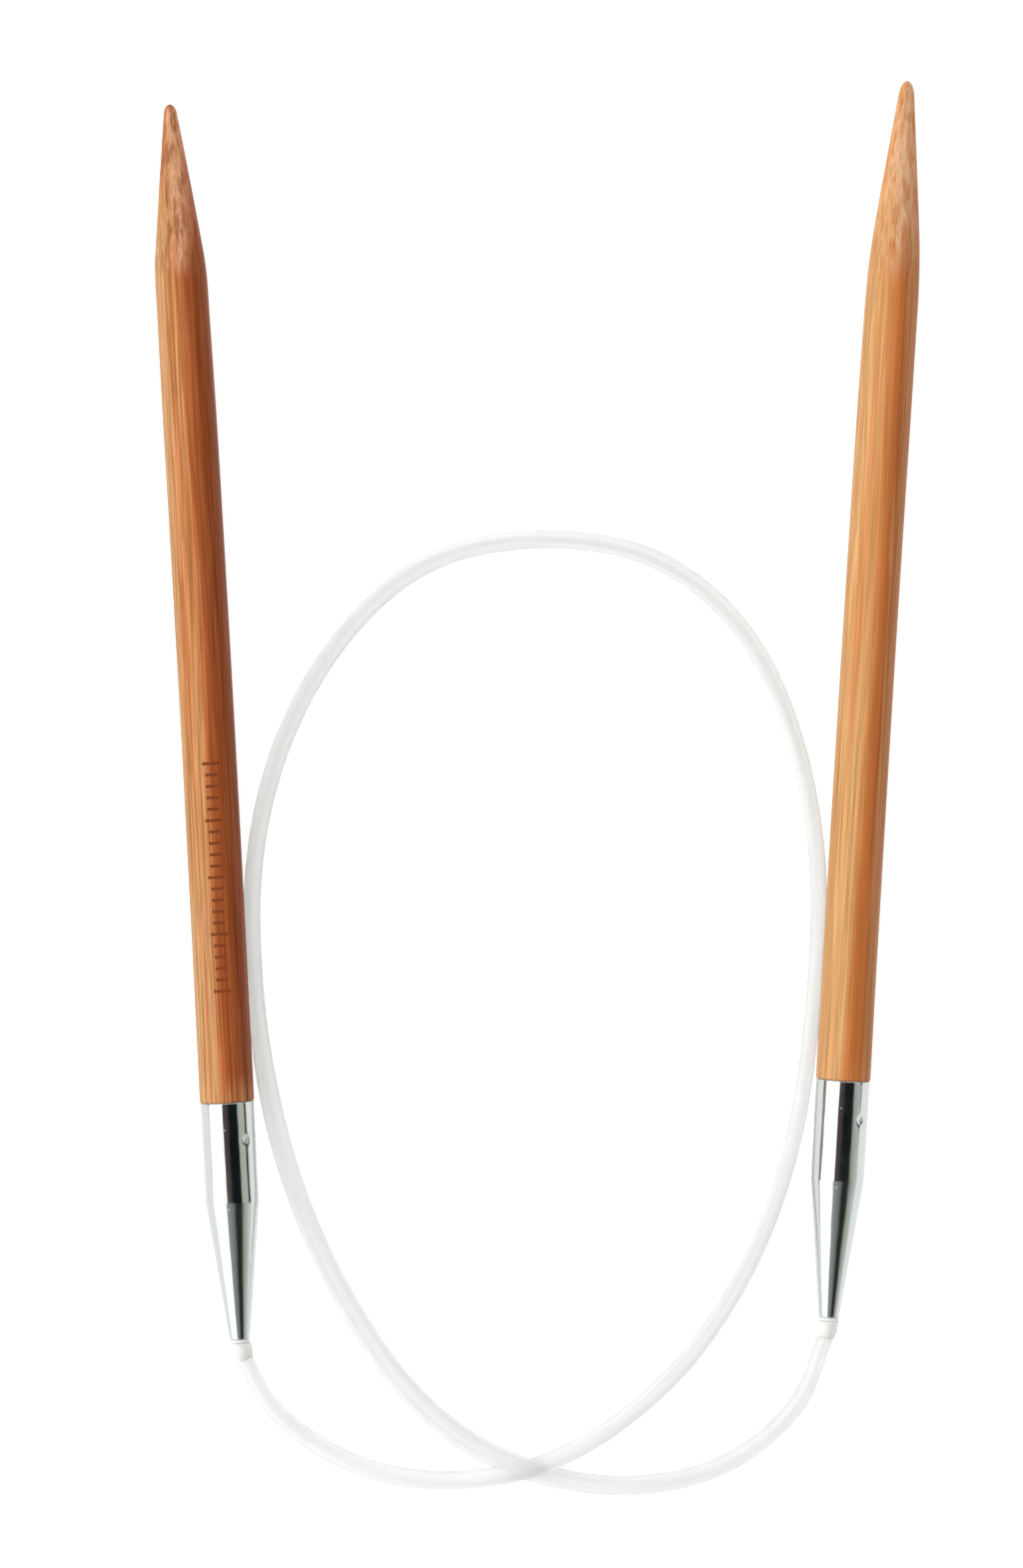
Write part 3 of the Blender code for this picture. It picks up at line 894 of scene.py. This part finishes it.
def oval_tube(name, line, widths, heights, look):
    """A tube of oval section along a line, closed at its first ring and open at its last, where the
    other half of the cord goes on. Its UV coordinates are turns round it and metres along it."""
    tangents = np.gradient(line, axis=0)
    shape = bmesh.new()
    layer = shape.loops.layers.uv.new("Cord")
    rings, marks = [], {}
    for at, centre, tangent, width, height in zip(along_line(line), line, tangents, widths, heights):
        ahead = Vector(tangent).normalized()
        across = ahead.cross(UP).normalized()
        upward = across.cross(ahead)
        ring = []
        for i in range(CORD_SIDES):
            angle = 2 * math.pi * i / CORD_SIDES
            offset = across * (width / 2 * math.cos(angle)) + upward * (height / 2 * math.sin(angle))
            vertex = shape.verts.new(Vector(centre) + offset)
            marks[vertex] = (i / CORD_SIDES, at)
            ring.append(vertex)
        rings.append(ring)
    faces = []
    for here, there in zip(rings, rings[1:]):
        for i in range(CORD_SIDES):
            j = (i + 1) % CORD_SIDES
            faces.append(shape.faces.new((here[i], here[j], there[j], there[i])))
    faces.append(shape.faces.new(rings[0]))

    # The last face of each turn runs to 1, not back to 0.
    for face in faces:
        for loop in face.loops:
            round_share, at = marks[loop.vert]
            wraps = round_share == 0 and any(marks[v][0] > 0.6 for v in face.verts)
            loop[layer].uv = (1.0 if wraps else round_share, at)
    return finished(name, shape, look)


def make_cord(looks):
    """Two halves that meet at the loop's top. Each follows a smooth curve from there to its collar."""
    line, widths, heights = cord_line()
    top = int(np.argmin(np.linalg.norm(line - np.array(LOOP_TOP), axis=1)))
    halves = {
        "left": (line[:top + 1], widths[:top + 1], heights[:top + 1]),
        "right": (line[top:][::-1], widths[top:][::-1], heights[top:][::-1]),
    }
    for side, (path, wide, high) in halves.items():
        half = oval_tube(side + "_nylon_cord", path, wide, high, looks["nylon"])
        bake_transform(half)
        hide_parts("cord_loop")


def make_neck(side, looks):
    """The thin neck of the cord inside the needle, from its melted head to the collar's foot."""
    head_top = HEAD_START + HEAD_LENGTH
    outline = [(0.0, head_top), (HEAD_R - CLEARANCE, head_top), (HEAD_R, head_top - CLEARANCE)]
    outline += [(HEAD_R, HEAD_START + CLEARANCE), (HEAD_R - CLEARANCE, HEAD_START)]
    outline += [(NECK_R, HEAD_START), (NECK_R, -BUSH_RIM), (0.0, -BUSH_RIM)]
    inner = lathe(side + "_cord_neck", outline, looks["plain_nylon"], sides=NECK_SIDES)
    settle(inner, needle_matrix(side), side + "_end", "nylon_cord", side + "_cord_end")

    # The nape bends from the neck's end through the collar.
    rim, top, foot = cord_exit(side)
    path = [rim - cord_way(side, 0) * NECK_OVERLAP, rim, rim.lerp(top, 0.5), top, foot]
    curve = bpy.data.curves.new(side + "_cord_nape", "CURVE")
    curve.dimensions = "3D"
    curve.bevel_depth = NECK_R
    curve.bevel_resolution = 8
    curve.use_fill_caps = True
    spline = curve.splines.new("POLY")
    spline.points.add(len(path) - 1)
    for point, at in zip(spline.points, path):
        point.co = (*at, 1.0)
    curve.materials.append(looks["plain_nylon"])
    nape = bpy.data.objects.new(side + "_cord_nape", curve)
    bpy.context.scene.collection.objects.link(nape)
    settle(nape, Matrix.Identity(4), side + "_end", "nylon_cord")


def make_collar(side, looks):
    """The collar hangs off the mouth at an angle, with its top sheared to meet the bush's rim."""
    place = turned_at(cord_exit(side)[1], -cord_way(side, COLLAR_TILT[side]))
    collar = lathe(side + "_clear_collar", collar_outline(), looks["clear"], sides=SMALL_SIDES)
    face = place.to_3x3().inverted() @ needle_axis(side)
    lift = COLLAR_OFFSET - COLLAR_GAP
    for vertex in collar.data.vertices:
        share = max(0.0, 1 + vertex.co.z / (COLLAR_SHEAR * COLLAR_LENGTH))
        vertex.co.z += share * (lift - (vertex.co.x * face.x + vertex.co.y * face.y) / face.z)
    settle(collar, place, side + "_end", "clear_plastic", side + "_cord_collar")


# ---------------------------------------------------------------------------------------------
# Stage: floor, light and camera
# ---------------------------------------------------------------------------------------------

def make_floor():
    """The table, one large square at z = 0."""
    shape = bmesh.new()
    bmesh.ops.create_grid(shape, x_segments=1, y_segments=1, size=FLOOR_REACH)
    floor = finished("floor", shape, floor_look())


def sky_ramp(tree, share, sky):
    """The sky's colour for a share of the turn from left to right, as a part of its peak."""
    stops = [(degrees / 180 + 0.5, [c / SKY_PEAK for c in colour]) for degrees, colour in sky]
    return ramp(tree, share, stops)


def make_sky():
    """A studio round the table: a wide white softbox on the left and one past the tips, dark overhead,
    grey on the right and towards the foot."""
    world = bpy.data.worlds.new("studio")
    bpy.context.scene.world = world
    world.use_nodes = True
    tree = world.node_tree
    direction = add(tree, "ShaderNodeTexCoord").outputs["Generated"]
    axes = add(tree, "ShaderNodeSeparateXYZ", {0: direction})
    turn = calc(tree, "ARCTAN2", axes.outputs[0], axes.outputs[2])
    share = calc(tree, "MULTIPLY_ADD", turn, 1 / math.pi, 0.5)
    tipwards = axes.outputs[1]
    foot = span(tree, tipwards, *FOOT_LIMITS)
    colour = mix(tree, foot, sky_ramp(tree, share, SKY), sky_ramp(tree, share, FOOT_SKY))
    colour = mix(tree, span(tree, tipwards, *TIP_BOX_LIMITS), colour, TIP_BOX)
    colour = mix(tree, span(tree, tipwards, *FAR_WALL_LIMITS), colour, FAR_WALL)
    fill(tree, tree.nodes["Background"], {"Color": colour, "Strength": SKY_PEAK})


def make_lamp():
    """The soft lamp, aimed at the origin. It lights the pieces but doesn't show in them."""
    lamp = bpy.data.lights.new("top_light", "AREA")
    lamp.shape = "SQUARE"
    lamp.size = LAMP_SIDE
    lamp.energy = LAMP_WATTS
    item = bpy.data.objects.new("top_light", lamp)
    bpy.context.scene.collection.objects.link(item)
    item.location = LAMP_PLACE
    item.rotation_euler = (-LAMP_PLACE).to_track_quat("-Z", "Y").to_euler()
    item.visible_glossy = False
    item.visible_transmission = False


def make_camera():
    """The camera, high enough for its field of view at the needles' axes."""
    camera = bpy.data.cameras.new("camera")
    camera.lens = LENS_MM
    camera.sensor_width = SENSOR_MM
    camera.clip_end = CLIP_END
    item = bpy.data.objects.new("camera", camera)
    bpy.context.scene.collection.objects.link(item)
    height = VIEW_HEIGHT * LENS_MM / SENSOR_MM + shaft_radius()
    item.location = (*VIEW_CENTRE, height)
    bpy.context.scene.camera = item


def main():
    """The stage, then the cord and both needles. The cord's stops keep their CAD shape."""
    bpy.context.scene.view_settings.view_transform = "Standard"
    make_camera()
    make_floor()
    make_sky()
    make_lamp()

    # The neck and the nape have no coordinates along the cord, so their nylon is plain.
    looks = {
        "left": bamboo_look("left"), "right": bamboo_look("right"), "burnt": burnt_look(),
        "chrome": chrome_look(), "nylon": nylon_look(), "plain_nylon": nylon_look(),
        "clear": clear_look("clear_moulding", 0.75), "bush": clear_look("milky_moulding", 1.0),
        "brass": brass_look(),
    }
    make_cord(looks)
    for side in SIDES:
        make_needle(side, looks)
        make_neck(side, looks)
        make_collar(side, looks)
        stop = frame["nodes"][side + "_cord_stop"]
        stop.data.materials.clear()
        stop.data.materials.append(looks["brass"])


main()
